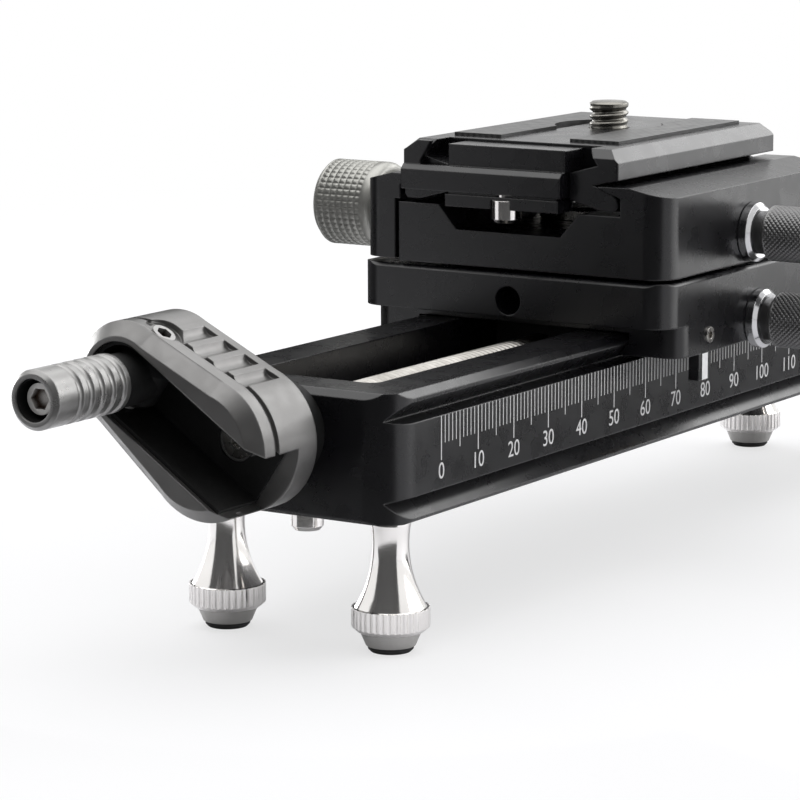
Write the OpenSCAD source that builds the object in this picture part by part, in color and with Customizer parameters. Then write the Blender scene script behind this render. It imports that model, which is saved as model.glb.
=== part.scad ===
// Macro focusing rail: a screw-driven carriage with a turning plate clamp.
// X runs along the rail (crank at -X), Y across it, Z up. Units are mm.
// Z = 0 is the rail's underside, X = 0 and Y = 0 its middle.

/* [Rail] */
// Length of the rail.
rail_len = 180; // [160:1:220]
// Width of the rail over its dovetail edges.
rail_w = 38; // [37:0.1:39]
// Height of the rail.
rail_h = 18.8; // [18:0.1:21]
// Radius of the rail's upright corners.
corner_r = 5.5; // [3:0.1:7]
// Depth of the dovetail grooves in the sides.
groove_depth = 2.5; // [2:0.1:3]
// Width of the channel that the screw lies in.
channel_w = 21.6; // [20:0.1:22.4]
// Thickness of the rail under the channel.
channel_floor = 5; // [4:0.1:5.5]
// Thickness of the rail's end walls.
end_wall = 7.7; // [7:0.1:10]

/* [Lead screw] */
// Height of the lead screw's axis.
screw_z = 12.5; // [12:0.1:12.8]
// Outside diameter of the lead screw.
screw_d = 8; // [7:0.1:8.6]
// Diameter of the lead screw's journals.
journal_d = 5; // [4.6:0.1:5.6]

/* [Feet] */
// Distance of the feet from the rail's middle, along it.
foot_x = 83.8; // [78:0.1:84]
// Distance of the feet from the rail's middle, across it.
foot_y = 14.3; // [12:0.1:14.5]
// Height of a foot.
foot_h = 19.3; // [17:0.1:26]
// Diameter of a foot's top.
neck_d = 5.8; // [5.4:0.1:6.4]
// Diameter of a foot's fluted collar.
collar_d = 11.3; // [10.6:0.1:12.4]

/* [Crank] */
// Gap between the rail's end and the crank.
crank_gap = 6.3; // [6:0.1:9]
// Thickness of the crank from back to front.
crank_depth = 14.5; // [14.2:0.1:16]
// Distance from the screw's axis to the handle's axis.
arm_len = 15.7; // [15:0.1:18]
// Tilt of the crank arm as stored, above the horizontal.
arm_angle = 33.7; // [0:0.1:60]
// Radius of the crank's end at the screw.
hub_r = 10.3; // [9.8:0.1:11.5]
// Radius of the crank's end at the handle.
tip_r = 8.2; // [8:0.1:9.2]
// Width of the slot that the handle folds into.
slot_w = 9.8; // [9.7:0.1:10.4]
// Bevel around the crank's front face.
crank_bevel = 2; // [1.2:0.1:2.4]

/* [Handle] */
// Distance from the fold axis to the handle's end.
handle_reach = 24; // [22:0.1:25.6]
// Length of the turning grip.
grip_len = 16.7; // [15.8:0.1:17.5]
// Diameter of the grip.
grip_d = 8.4; // [8:0.1:8.5]

/* [Carriage] */
// Side of the square carriage and clamp.
carriage_size = 56; // [52:0.5:60]
// Thickness of the carriage's top plate.
carriage_h = 7; // [6.6:0.1:9]
// Radius of the carriage's and the clamp's upright corners.
block_r = 4; // [2.5:0.1:5]
// Setback of the carriage's lower jaws from its front and back.
jaw_setback = 4.5; // [3:0.1:6]
// Place of the index pointer along the carriage.
pointer_x = -15.3; // [-20:0.1:-12]
// Place of the gib's adjusting screw along the carriage.
gib_screw_x = -13.7; // [-20:0.1:-10]
// Place of the lock knob along the carriage.
lock_x = 2.8; // [-3:0.1:4]
// Length of the drive nut.
nut_len = 36; // [34:0.5:44]

/* [Clamp] */
// Gap between the carriage and the clamp.
pan_gap = 0.6; // [0.4:0.1:1.2]
// Height of the clamp's floor above its underside.
floor_h = 9.4; // [9.2:0.1:11]
// Diameter of the post that the clamp turns on.
post_d = 17; // [15:0.1:17.2]
// Diameter of the clamp's big knob.
knob_d = 14.4; // [13:0.1:16]
// Length of the clamp's big knob.
knob_len = 12.1; // [11:0.1:16]
// Distance of the big knob from the jaw.
knob_standoff = 11.3; // [8:0.1:14]
// Diameter of the chrome rings on the small lock knobs.
ring_d = 9.4; // [9:0.1:10.4]
// Length of the small lock knobs' grips.
lock_grip_len = 13; // [10:0.1:18]

/* [Plate] */
// Length of the quick-release plate.
plate_len = 52.5; // [50:0.5:64]
// Width of the quick-release plate.
plate_w = 38.7; // [38.3:0.1:39]
// Thickness of the quick-release plate.
plate_h = 9.4; // [8.8:0.1:11]
// Offset of the plate's middle along the rail.
plate_x = -1.45; // [-3:0.05:3]
// Offset of the camera screw along the rail.
camera_screw_x = 3.8; // [0:0.1:8]
// Height of the camera screw above the plate.
camera_screw_h = 4.3; // [3.6:0.1:5.5]

/* [Hidden] */
$fn = 48;
run = 0.05;                         // radial running clearance
half_len = rail_len / 2;
half_w = rail_w / 2;
lip_z = rail_h - 1.5;               // lower edge of the upper lip
groove_z = lip_z - groove_depth;    // deepest line of the upper groove
low_lip_z = 0.6;
low_groove_z = low_lip_z + groove_depth;
journal_r = journal_d / 2;
bush_r = journal_r + 2.2;
bore_r = journal_r + run;
shoulder_x = half_len - end_wall - 0.2;

crank_back = -half_len - crank_gap;
crank_front = crank_back - crank_depth;
pivot_x = crank_front + 5.1;
slot_floor_x = pivot_x + slot_w / 2;
liner_end = -sqrt(pow(hub_r - 1.2, 2) - pow(slot_w / 2 + 0.6, 2));
groove_front = crank_front + 4.4;
groove_back = groove_front + 1;
taper = asin((hub_r - tip_r) / arm_len);
handle_end = pivot_x - handle_reach;
grip_start = handle_end + grip_len;
spindle_r = 1.7;
seat_depth = 3.2;                   // depth of the recess for the handle's screw

under_z = rail_h + 0.1;             // underside that rides on the rail
plate_under_z = rail_h + 1.6;       // underside of the top plate's overhang
top_z = plate_under_z + carriage_h;
jaw_low_z = groove_z + 0.6;
half_c = carriage_size / 2;
jaw_half_len = half_c - jaw_setback;
lock_z = plate_under_z - 1.8;
nut_w = channel_w - 5.6;

clamp_z = top_z + pan_gap;
relief_z = floor_h - 3.8;           // relief channel, above the clamp's underside
stud_z = clamp_z + 4.75;            // height of the clamp's knobs
post_r = post_d / 2;
fixed_edge = half_c - 7.8;          // side of the clamp's fixed part, towards its jaw
jaw_gap = 0.7;
jaw_in = fixed_edge + jaw_gap;
jaw_out = half_c - 1;               // outer face of the moving jaw

flange_z = floor_h + 0.7;           // plate's underside, above the clamp's underside
plate_z = clamp_z + flange_z;
plate_top = plate_z + plate_h;
half_p = plate_w / 2;
plate_front = plate_x - plate_len / 2;
plate_back = plate_x + plate_len / 2;
flank_slope = 1.3 / 3.6;
flank_y = half_p - 0.95;            // lower edge of the plate's clamped flank
hook_y = half_p - 3.55;             // tip of a jaw's hook
pad_y = half_p + 0.6;               // inner wall of the clamp's jaws
lip_half = 10.5;                    // half width of the front lip's middle
lip_x = min(plate_front - 2.5, -half_c - 2.2);   // front of the plate's front lip
clear_x = min(plate_front, -half_c - 0.3);       // back of the lip's long bar
strip_y = half_p - 8.75;            // middle of a rubber pad
camera_r = 3.175;

steel = [0.78, 0.79, 0.8];
bright = [0.9, 0.9, 0.92];
black = [0.07, 0.07, 0.08];
titanium = [0.55, 0.54, 0.53];
bronze = [0.7, 0.55, 0.3];
rubber = [0.05, 0.05, 0.05];

// ---- shared shapes ----

module rod_x(x0, x1, r) {
    translate([x0, 0, 0])
        rotate([0, 90, 0])
            cylinder(h = x1 - x0, r = r);
}

module rod_y(y0, y1, r) {
    translate([0, y0, 0])
        rotate([-90, 0, 0])
            cylinder(h = y1 - y0, r = r);
}

// A half outline from the middle outwards, with its mirror image added.
function both_sides(p) = concat(p, [for (i = [len(p) - 1 : -1 : 0]) [-p[i][0], p[i][1]]]);

module round_rect(lx, ly, r) {
    square([lx - 2 * r, ly], center = true);
    square([lx, ly - 2 * r], center = true);
    for (sx = [-1, 1])
        for (sy = [-1, 1])
            translate([sx * (lx / 2 - r), sy * (ly / 2 - r)])
                circle(r = r);
}

// Extrudes a Y-Z outline along X, centred.
module along_x(len) {
    rotate([90, 0, 90])
        linear_extrude(height = len, center = true)
            children();
}

// Extrudes an X-Z outline along Y, centred.
module along_y(len) {
    rotate([90, 0, 0])
        linear_extrude(height = len, center = true)
            children();
}

module hex_socket(flats, depth) {
    cylinder(h = depth, d = flats / cos(30), $fn = 6);
}

// Straight flutes around a cylinder of radius r, from z0 to z1.
module flutes(r, count, cut_r, z0, z1) {
    for (i = [0 : count - 1])
        rotate([0, 0, i * 360 / count])
            translate([r + cut_r * 0.45, 0, z0])
                cylinder(h = z1 - z0, r = cut_r, $fn = 16);
}

// ---- rail ----

module rail_outline() {
    polygon(both_sides([[half_w - 0.5, 0], [half_w, 0.5], [half_w, low_lip_z],
                        [half_w - groove_depth, low_groove_z], [half_w, low_groove_z + 0.6],
                        [half_w, groove_z - 0.5], [half_w - groove_depth, groove_z],
                        [half_w, lip_z], [half_w, rail_h - 1], [half_w - 1, rail_h]]));
}

module rail_ends_outline() {
    polygon([[-half_len, 0.5], [-half_len + 0.5, 0], [half_len - 0.5, 0], [half_len, 0.5],
             [half_len, rail_h - 1], [half_len - 1, rail_h],
             [-half_len + 1, rail_h], [-half_len, rail_h - 1]]);
}

module rail_base() {
    color(black)
        difference() {
            intersection() {
                along_x(rail_len + 2)
                    rail_outline();
                along_y(rail_w + 2)
                    rail_ends_outline();
                linear_extrude(height = rail_h + 1)
                    round_rect(rail_len, rail_w, corner_r);
            }
            translate([0, 0, channel_floor])
                linear_extrude(height = rail_h)
                    round_rect(rail_len - 2 * end_wall, channel_w, 2);
            translate([0, 0, screw_z])
                rod_x(-half_len - 1, half_len + 1, bush_r);
            // tripod threads: the big one in the middle, a small one at each side of it
            translate([0, 0, -1])
                cylinder(h = channel_floor + 2, r = 4.7625);
            for (s = [-1, 1])
                translate([s * 32, 0, -1])
                    cylinder(h = channel_floor + 2, r = 3.175);
            for (s = [-1, 1])
                translate([s * foot_x, 0, -1])
                    cylinder(h = 5, r = 1.5);
            for (sx = [-1, 1])
                for (sy = [-1, 1])
                    translate([sx * foot_x, sy * foot_y, -1])
                        cylinder(h = 5, r = 1.8);
        }
}

module bushing(x_face, x_inner, flange_t) {
    translate([0, 0, screw_z])
        difference() {
            union() {
                rod_x(min(x_face, x_inner), max(x_face, x_inner), bush_r);
                if (flange_t > 0)
                    rod_x(x_face - flange_t, x_face, bush_r + 2.6);
            }
            rod_x(-half_len * 2, half_len * 2, bore_r);
        }
}

module front_bearing() {
    color(black)
        bushing(-half_len, -half_len + end_wall, 2);
}

module rear_bearing() {
    color(black)
        bushing(half_len - 2, half_len - end_wall, 0);
}

module rear_plug() {
    color(black)
        translate([0, 0, screw_z])
            rod_x(half_len - 2, half_len - 0.2, bush_r);
}

module end_stop_screws() {
    color(steel)
        for (s = [-1, 1])
            translate([s * foot_x, 0, 0])
                difference() {
                    union() {
                        cylinder(h = 4, r = 1.5);
                        translate([0, 0, -2.6])
                            cylinder(h = 2.6, r = 2.4);
                        translate([0, 0, -3.2])
                            cylinder(h = 0.6, r1 = 1.9, r2 = 2.4);
                    }
                    translate([0, 0, -3.3])
                        hex_socket(2, 1.6);
                }
}

// ---- feet ----

foot_top_z = -0.8;
collar_top_z = -foot_h + 6.5;
collar_low_z = -foot_h + 3;
cup_low_z = -foot_h + 0.9;
waist_sag = 1.1;
cone_r = collar_d / 2 - 0.45;
waist_dx = cone_r - neck_d / 2;
waist_dz = foot_top_z - collar_top_z;
waist_chord = sqrt(waist_dx * waist_dx + waist_dz * waist_dz);
waist_r = waist_chord * waist_chord / (8 * waist_sag) + waist_sag / 2;
waist_x = (cone_r + neck_d / 2) / 2 + (waist_r - waist_sag) * waist_dz / waist_chord;
waist_z = (foot_top_z + collar_top_z) / 2 + (waist_r - waist_sag) * waist_dx / waist_chord;

module foot(sx, sy) {
    color(bright)
        translate([sx * foot_x, sy * foot_y, 0]) {
            difference() {
                union() {
                    rotate_extrude()
                        difference() {
                            translate([0, collar_top_z])
                                square([cone_r, foot_top_z - collar_top_z]);
                            translate([waist_x, waist_z])
                                circle(r = waist_r, $fn = 96);
                        }
                    translate([0, 0, foot_top_z])
                        cylinder(h = -foot_top_z, r = neck_d / 2);
                    cylinder(h = 3.8, r = 1.8);
                    translate([0, 0, collar_low_z])
                        cylinder(h = 0.7, r1 = collar_d / 2 - 0.8, r2 = collar_d / 2);
                    translate([0, 0, collar_low_z + 0.7])
                        cylinder(h = collar_top_z - collar_low_z - 0.7, r = collar_d / 2);
                }
                flutes(collar_d / 2, 36, 0.34, collar_low_z - 1, collar_top_z + 1);
                translate([0, 0, collar_low_z - 1])
                    cylinder(h = 2, r = 3);
            }
        }
}

module foot_front_left() {
    foot(-1, 1);
}

module foot_front_right() {
    foot(-1, -1);
}

module foot_rear_left() {
    foot(1, 1);
}

module foot_rear_right() {
    foot(1, -1);
}

module at_feet() {
    for (sx = [-1, 1])
        for (sy = [-1, 1])
            translate([sx * foot_x, sy * foot_y, 0])
                children();
}

module foot_cups() {
    color(titanium)
        at_feet()
            difference() {
                union() {
                    translate([0, 0, collar_low_z])
                        cylinder(h = 1, r = 3);
                    translate([0, 0, cup_low_z])
                        cylinder(h = collar_low_z - cup_low_z, r1 = 3.6, r2 = 4.5);
                }
                translate([0, 0, cup_low_z - 1])
                    cylinder(h = 2.1, r = 2.9);
            }
}

module foot_pads() {
    color(rubber)
        at_feet()
            translate([0, 0, -foot_h]) {
                cylinder(h = 0.4, r1 = 2.9, r2 = 3.3);
                translate([0, 0, 0.4])
                    cylinder(h = 0.5, r = 3.3);
                translate([0, 0, 0.9])
                    cylinder(h = 1.1, r = 2.9);
            }
}

// ---- lead screw ----

module lead_screw() {
    color(steel)
        translate([0, 0, screw_z])
            difference() {
                union() {
                    rod_x(-shoulder_x + 0.6, shoulder_x - 0.6, screw_d / 2);
                    translate([-shoulder_x, 0, 0])
                        rotate([0, 90, 0])
                            cylinder(h = 0.6, r1 = screw_d / 2 - 0.6, r2 = screw_d / 2);
                    translate([shoulder_x - 0.6, 0, 0])
                        rotate([0, 90, 0])
                            cylinder(h = 0.6, r1 = screw_d / 2, r2 = screw_d / 2 - 0.6);
                    rod_x(crank_back - 2.6, half_len - 2.4, journal_r);
                }
                rod_x(crank_back - 3, crank_back + 6, 1.25);
            }
}

module thrust_collar() {
    color(black)
        translate([0, 0, screw_z])
            difference() {
                rod_x(crank_back, -half_len - 2.15, bush_r + 1.6);
                rod_x(crank_back - 1, -half_len, journal_r);
            }
}

// ---- crank, drawn in its own plane: x along the arm, y across it, z along the rail ----

module crank_place() {
    translate([0, 0, screw_z])
        rotate([arm_angle, 0, 0])
            rotate([90, 0, 90])
                children();
}

// Four corners of the straight part, whose sides lie a hair inside the tangents of the round ends.
function arm_corners(inset) =
    let (r0 = hub_r - inset - 0.05, r1 = tip_r - inset - 0.05)
    [[r0 * sin(taper), r0 * cos(taper)],
     [arm_len + r1 * sin(taper), r1 * cos(taper)],
     [arm_len + r1 * sin(taper), -r1 * cos(taper)],
     [r0 * sin(taper), -r0 * cos(taper)]];

module arm_outline(inset) {
    circle(r = hub_r - inset);
    translate([arm_len, 0])
        circle(r = tip_r - inset);
    polygon(arm_corners(inset));
}

module slot_outline(w) {
    translate([arm_len, 0])
        circle(r = w / 2);
    translate([-hub_r - 2, -w / 2])
        square([hub_r + 2 + arm_len, w]);
}

// Front layer whose rim slopes back all the way round.
module bevel_layer() {
    translate([0, 0, crank_front])
        cylinder(h = crank_bevel, r1 = hub_r - crank_bevel, r2 = hub_r);
    translate([arm_len, 0, crank_front])
        cylinder(h = crank_bevel, r1 = tip_r - crank_bevel, r2 = tip_r);
    corners = arm_corners(0.1);
    difference() {
        translate([0, 0, crank_front])
            linear_extrude(height = crank_bevel)
                polygon(corners);
        for (s = [-1, 1])
            translate([corners[0][0], s * corners[0][1], crank_front + crank_bevel - 0.05])
                rotate([0, 0, -s * taper])
                    rotate([-s * 45, 0, 0])
                        translate([-arm_len, s > 0 ? 0 : -hub_r, -hub_r])
                            cube([3 * arm_len, hub_r, 2 * hub_r]);
    }
}

module crank_shell() {
    color(titanium)
        crank_place()
            difference() {
                union() {
                    translate([0, 0, groove_back])
                        linear_extrude(height = crank_back - groove_back)
                            arm_outline(0);
                    translate([0, 0, groove_front])
                        linear_extrude(height = 1)
                            arm_outline(0.6);
                    translate([0, 0, crank_front + crank_bevel])
                        linear_extrude(height = groove_front - crank_front - crank_bevel)
                            arm_outline(0);
                    bevel_layer();
                }
                translate([0, 0, crank_front - 1])
                    linear_extrude(height = slot_floor_x - crank_front + 1)
                        slot_outline(slot_w + 1.2);
                // finger flutes along both long sides
                for (s = [-1, 1])
                    for (i = [0 : 3])
                        rotate([0, 0, -s * taper])
                            translate([0.6 + i * 3.85, s * (hub_r + 0.85), groove_back - 0.5])
                                cylinder(h = crank_back - groove_back - 1.1, r = 1.65);
                // bore, counterbore and seat of the fold axis
                translate([arm_len, 0, pivot_x])
                    rod_y(-tip_r + 1.4, tip_r, 1.5);
                translate([arm_len, 0, pivot_x])
                    rod_y(tip_r - 0.9, tip_r + 2, 2.9);
                translate([arm_len, 0, pivot_x])
                    rod_y(tip_r - 2, tip_r, 1.7);
                // seat and hole for the lead screw's end and its screw
                translate([0, 0, crank_back - 2.6])
                    cylinder(h = 4, r = journal_r);
                translate([0, 0, slot_floor_x - 0.1])
                    cylinder(h = 1.4, r1 = 2.8, r2 = 1.3);
                translate([0, 0, slot_floor_x])
                    cylinder(h = crank_back - slot_floor_x, r = 1.3);
            }
}

module crank_liner() {
    color(black)
        crank_place()
            difference() {
                translate([0, 0, crank_front + 0.8])
                    linear_extrude(height = slot_floor_x - crank_front - 0.8)
                        slot_outline(slot_w + 1.2);
                translate([0, 0, crank_front])
                    linear_extrude(height = slot_floor_x - crank_front - 0.4)
                        slot_outline(slot_w);
                translate([-hub_r * 2 + liner_end, -hub_r, crank_front])
                    cube([hub_r * 2, hub_r * 2, crank_depth]);
                translate([0, 0, slot_floor_x - 1])
                    cylinder(h = 2, r = 3);
                translate([arm_len, 0, pivot_x])
                    rod_y(-tip_r, tip_r, 1.5);
            }
}

module crank_screw() {
    color(steel)
        crank_place()
            difference() {
                union() {
                    translate([0, 0, slot_floor_x])
                        cylinder(h = 1.3, r1 = 2.6, r2 = 1.3);
                    translate([0, 0, slot_floor_x + 1.2])
                        cylinder(h = 6, r = 1.2);
                }
                translate([0, 0, slot_floor_x - 0.1])
                    hex_socket(2, 1.1);
            }
}

module handle_pivot() {
    color(bright)
        crank_place()
            translate([arm_len, 0, pivot_x])
                difference() {
                    union() {
                        rod_y(-tip_r + 1.5, tip_r - 1.5, 1.5);
                        rod_y(tip_r - 2, tip_r - 0.5, 1.7);
                    }
                    translate([0, tip_r - 0.4, 0])
                        rotate([90, 0, 0])
                            hex_socket(2, 1.6);
                }
}

// ---- handle, standing straight out of the slot ----

module handle_knuckle() {
    color(black)
        crank_place()
            translate([arm_len, 0, 0])
                difference() {
                    union() {
                        translate([0, 0, grip_start + 0.1])
                            cylinder(h = pivot_x - grip_start - 0.1, r = grip_d / 2 - 0.35);
                        translate([0, 0, pivot_x])
                            intersection() {
                                rod_y(-slot_w / 2 + 0.6, slot_w / 2 - 0.6, grip_d / 2 - 0.35);
                                sphere(r = slot_w / 2 - 0.3);
                            }
                        translate([0, 0, handle_end + seat_depth - 0.1])
                            cylinder(h = grip_len - seat_depth + 0.3, r = spindle_r);
                    }
                    translate([0, 0, pivot_x])
                        rod_y(-slot_w, slot_w, 1.5 + run);
                    translate([0, 0, handle_end])
                        cylinder(h = 10, r = 1);
                }
}

module handle_grip() {
    rib_pitch = (grip_len - 5.3) / 4.8;
    color(titanium)
        crank_place()
            translate([arm_len, 0, 0])
                difference() {
                    union() {
                        translate([0, 0, handle_end])
                            cylinder(h = 0.6, r1 = grip_d / 2 - 0.6, r2 = grip_d / 2);
                        translate([0, 0, handle_end + 0.6])
                            cylinder(h = grip_len - 1, r = grip_d / 2);
                        translate([0, 0, grip_start - 0.4])
                            cylinder(h = 0.4, r1 = grip_d / 2, r2 = grip_d / 2 - 0.4);
                    }
                    translate([0, 0, handle_end - 1])
                        cylinder(h = grip_len + 2, r = spindle_r + run);
                    translate([0, 0, handle_end - 1])
                        cylinder(h = seat_depth + 1, r = 3);
                    for (i = [0 : 4])
                        translate([0, 0, handle_end + 5.3 + i * rib_pitch])
                            rotate_extrude()
                                translate([grip_d / 2 + 0.35, 0])
                                    circle(r = 0.7, $fn = 24);
                }
}

module handle_screw() {
    color(bright)
        crank_place()
            translate([arm_len, 0, handle_end])
                difference() {
                    union() {
                        translate([0, 0, 1.6])
                            cylinder(h = seat_depth - 1.7, r = 2.2);
                        translate([0, 0, seat_depth - 0.2])
                            cylinder(h = 6, r = 1);
                    }
                    translate([0, 0, 1.5])
                        rotate([0, 0, -arm_angle])
                            hex_socket(2.75, 1.2);
                }
}

// ---- carriage ----

// Cross-section of the lower jaws, which grip the rail's upper lips.
module carriage_outline() {
    flank_z = lip_z - 0.05;
    polygon(both_sides([[half_w + 0.15, under_z], [half_w + 0.15, flank_z],
                        [half_w + 0.15 - (flank_z - jaw_low_z), jaw_low_z],
                        [half_c, jaw_low_z], [half_c, plate_under_z + 1]]));
}

module lock_place() {
    translate([lock_x, 0, lock_z])
        children();
}

module carriage_top_outline() {
    polygon([[-half_c, plate_under_z], [half_c, plate_under_z], [half_c, top_z - 0.6],
             [half_c - 0.6, top_z], [-half_c + 0.6, top_z], [-half_c, top_z - 0.6]]);
}

module carriage_body() {
    color(black)
        difference() {
            intersection() {
                union() {
                    intersection() {
                        along_x(carriage_size)
                            carriage_top_outline();
                        along_y(carriage_size)
                            carriage_top_outline();
                    }
                    intersection() {
                        along_x(jaw_half_len * 2)
                            carriage_outline();
                        linear_extrude(height = 100)
                            round_rect(jaw_half_len * 2, carriage_size, 3);
                    }
                }
                linear_extrude(height = 100)
                    round_rect(carriage_size, carriage_size, block_r);
            }
            // blind hole in the front and the post's seat
            translate([0, 0, plate_under_z + 2.6])
                rod_x(-half_c - 1, -half_c + 8, 2.25);
            translate([0, 0, top_z - 4])
                cylinder(h = 5, r = 6);
            // holes for the nut's screws, and the pocket for the gib with its stud
            at_nut_screws() {
                translate([0, 0, under_z - 1])
                    cylinder(h = 20, r = 1.35);
                translate([0, 0, top_z - 3])
                    cylinder(h = 4, r = 2.4);
            }
            translate([lock_x - 7.1, -half_w - 3.6, jaw_low_z - 1])
                cube([14.2, 8, plate_under_z - 0.3 - jaw_low_z + 1]);
            lock_place()
                rod_y(-half_c - 1, -half_w - 3, 2.05);
            // gib screw and the pointer's tongue
            translate([gib_screw_x, 0, lock_z - 0.5])
                rod_y(-half_c - 1, -half_c + 5, 1.2);
            translate([pointer_x - 1, -half_c + 0.8, jaw_low_z - 1])
                cube([2, 1, 2.2]);
        }
}

module lock_gib() {
    color(bronze)
        translate([lock_x, 0, 0])
            along_x(14)
                polygon([[-half_w - 3.5, plate_under_z - 0.4], [-half_w - 3.5, jaw_low_z + 0.1],
                         [-half_w + (lip_z - jaw_low_z - 0.25), jaw_low_z + 0.1],
                         [-half_w - 0.08, lip_z - 0.08], [-half_w - 0.08, plate_under_z - 0.4]]);
}

module gib_screw() {
    color(steel)
        translate([gib_screw_x, 0, lock_z - 0.5])
            difference() {
                rod_y(-half_c - 0.3, -half_c + 5, 1.2);
                translate([0, -half_c - 0.4, 0])
                    rotate([-90, 0, 0])
                        hex_socket(1.2, 1.2);
            }
}

module index_pointer() {
    color(black) {
        translate([pointer_x - 1.7, -half_c, jaw_low_z - 4.2])
            cube([3.4, 1.8, 4.2]);
        translate([pointer_x - 1, -half_c + 0.8, jaw_low_z - 0.1])
            cube([2, 1, 1.2]);
    }
}

module at_nut_screws() {
    for (sx = [-1, 1])
        for (sy = [-1, 1])
            translate([sx * (nut_len / 2 - 4.5), sy * (nut_w / 2 - 2), 0])
                children();
}

module drive_nut() {
    nut_low = channel_floor + 1.8;
    color(black)
        difference() {
            translate([-nut_len / 2, -nut_w / 2, nut_low])
                cube([nut_len, nut_w, under_z - nut_low]);
            translate([0, 0, screw_z])
                rod_x(-nut_len, nut_len, screw_d / 2 + run);
            at_nut_screws()
                translate([0, 0, screw_z - 0.5])
                    cylinder(h = 10, r = 1.25);
        }
}

module nut_screws() {
    color(steel)
        at_nut_screws()
            difference() {
                union() {
                    translate([0, 0, screw_z])
                        cylinder(h = top_z - 2 - screw_z, r = 1.25);
                    translate([0, 0, top_z - 3])
                        cylinder(h = 2.6, r = 2.25);
                }
                translate([0, 0, top_z - 1.8])
                    hex_socket(2, 2);
            }
}

// ---- small lock knobs, drawn along +z from the face they stand on ----

module lock_ring_shape() {
    difference() {
        union() {
            translate([0, 0, 0.1])
                cylinder(h = 1.3, r = ring_d / 2);
            translate([0, 0, 1.4])
                cylinder(h = 0.6, r1 = ring_d / 2, r2 = ring_d / 2 - 0.6);
        }
        cylinder(h = 5, r = 2);
    }
}

module lock_knob_shape() {
    grip_r = ring_d / 2 - 0.3;
    difference() {
        union() {
            translate([0, 0, 2])
                cylinder(h = 1.5, r = grip_r - 1);
            translate([0, 0, 3.5])
                cylinder(h = 0.6, r1 = grip_r - 0.6, r2 = grip_r);
            translate([0, 0, 4.1])
                cylinder(h = lock_grip_len - 0.6, r = grip_r);
            translate([0, 0, lock_grip_len + 3.5])
                cylinder(h = 1.2, r1 = grip_r, r2 = grip_r - 1.2);
        }
        cylinder(h = 8, r = 2);
        flutes(grip_r, 30, 0.34, 4.5, lock_grip_len + 3.2);
    }
}

module face_y(x, z) {
    translate([x, -half_c, z])
        rotate([90, 0, 0])
            children();
}

module carriage_lock_knob() {
    color(titanium)
        face_y(lock_x, lock_z)
            lock_knob_shape();
}

module carriage_lock_ring() {
    color(bright)
        face_y(lock_x, lock_z)
            lock_ring_shape();
}

module carriage_lock_stud() {
    color(steel)
        face_y(lock_x, lock_z)
            translate([0, 0, half_w + 3.55 - half_c])
                cylinder(h = half_c - half_w - 3.55 + 8, r = 2);
}

module pan_lock_knob() {
    color(titanium)
        face_y(0, stud_z)
            lock_knob_shape();
}

module pan_lock_ring() {
    color(bright)
        face_y(0, stud_z)
            lock_ring_shape();
}

module pan_lock_stud() {
    color(steel)
        face_y(0, stud_z)
            translate([0, 0, post_r + 1.6 - half_c])
                cylinder(h = half_c - post_r - 1.6 + 8, r = 2);
}

module pan_lock_tip() {
    color(bronze)
        translate([0, 0, stud_z])
            rod_y(-post_r - 1.6, -post_r - run, 0.8);
}

// ---- turning joint ----

module pan_washer() {
    color(rubber)
        translate([0, 0, top_z])
            difference() {
                cylinder(h = pan_gap - 0.05, r = half_c - 8);
                translate([0, 0, -1])
                    cylinder(h = pan_gap + 2, r = post_r + 0.2);
            }
}

module pan_post() {
    color(steel)
        difference() {
            union() {
                translate([0, 0, top_z - 4])
                    cylinder(h = 4, r = 6);
                translate([0, 0, top_z])
                    cylinder(h = pan_gap + relief_z + run, r = post_r);
            }
            translate([0, 0, top_z - 3.5])
                cylinder(h = 20, r = 2);
        }
}

module pan_cap() {
    color(steel)
        translate([0, 0, clamp_z + relief_z + run])
            difference() {
                union() {
                    cylinder(h = 1.5, r = post_r + 0.7);
                    translate([0, 0, 1.5])
                        cylinder(h = 0.6, r1 = post_r + 0.7, r2 = post_r + 0.1);
                }
                translate([0, 0, -1])
                    cylinder(h = 5, r = 2);
                translate([0, 0, 0.3])
                    cylinder(h = 2, r1 = 2, r2 = 4);
            }
}

module pan_screw() {
    cap_z = clamp_z + relief_z + run;
    color(steel)
        difference() {
            union() {
                translate([0, 0, top_z - 2.5])
                    cylinder(h = cap_z + 0.5 - top_z + 2.5, r = 2);
                translate([0, 0, cap_z + 0.35])
                    cylinder(h = 1.6, r1 = 2, r2 = 3.6);
            }
            translate([0, 0, cap_z + 0.4])
                hex_socket(2.5, 3);
        }
}

// ---- clamp ----

module at_clamp() {
    translate([0, 0, clamp_z])
        children();
}

// Height of a jaw's clamping face over the clamp's underside, at y from the middle.
function hook_z(y) = flange_z + 2.6 + 0.05 + (flank_y - y) * flank_slope;

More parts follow.
